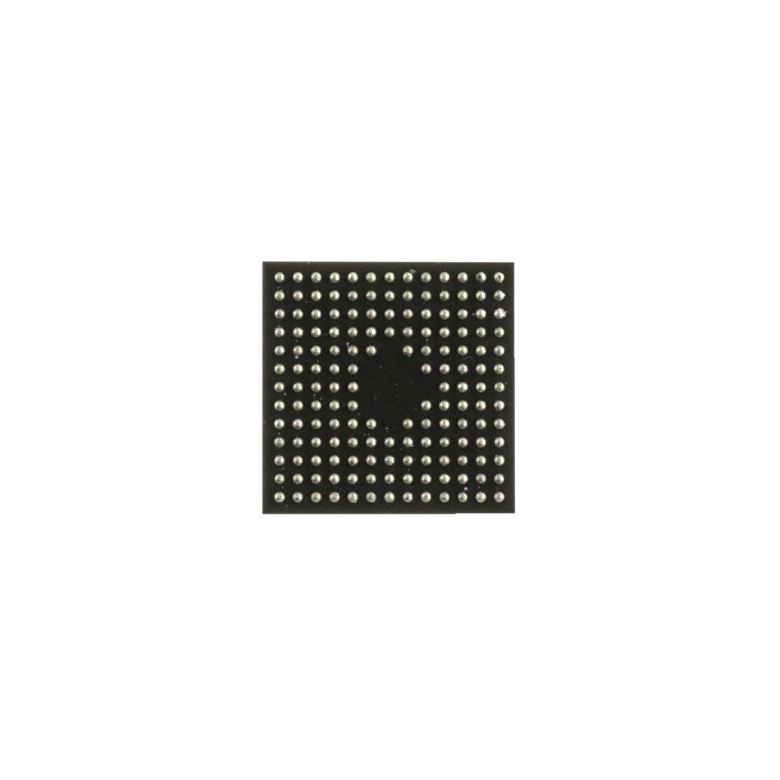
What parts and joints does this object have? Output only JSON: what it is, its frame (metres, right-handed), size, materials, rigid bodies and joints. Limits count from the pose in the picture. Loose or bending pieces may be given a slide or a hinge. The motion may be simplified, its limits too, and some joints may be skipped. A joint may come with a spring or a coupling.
{
  "type": "integrated circuit",
  "caption": "Square plastic ball grid array integrated circuit, lying ball side up, with a bare diamond at the centre of its solder ball array.",
  "frame": {"origin": "centre of the marked face, on the surface that the part lies on", "axes": "+Z through the package towards the solder balls; +Y towards ball row A; +X towards the column that the index dot's corner is in"},
  "size_m": [0.009, 0.009, 0.0011],
  "materials": {
    "mould_compound": "matte",
    "silicon": "polished",
    "adhesive_film": "satin",
    "bond_wire": "polished",
    "solder_mask": "satin",
    "copper": "satin",
    "laminate": "matte",
    "solder": "satin"
  },
  "bodies": {
    "root": {"mould_cap": "mould_compound", "silicon_die": "silicon", "die_attach_film": "adhesive_film", "bond_wires_north": "bond_wire", "bond_wires_west": "bond_wire", "bond_wires_south": "bond_wire", "bond_wires_east": "bond_wire", "top_solder_mask": "solder_mask", "top_copper": "copper", "laminate_core": "laminate", "copper_vias": "copper", "bottom_copper": "copper", "bottom_solder_mask": "solder_mask", "ball_row_a": "solder", "ball_row_b": "solder", "ball_row_c": "solder", "ball_row_d": "solder", "ball_row_e": "solder", "ball_row_f": "solder", "ball_row_g": "solder", "ball_row_h": "solder", "ball_row_j": "solder", "ball_row_k": "solder", "ball_row_l": "solder", "ball_row_m": "solder", "ball_row_n": "solder"}
  },
  "joints": []
}
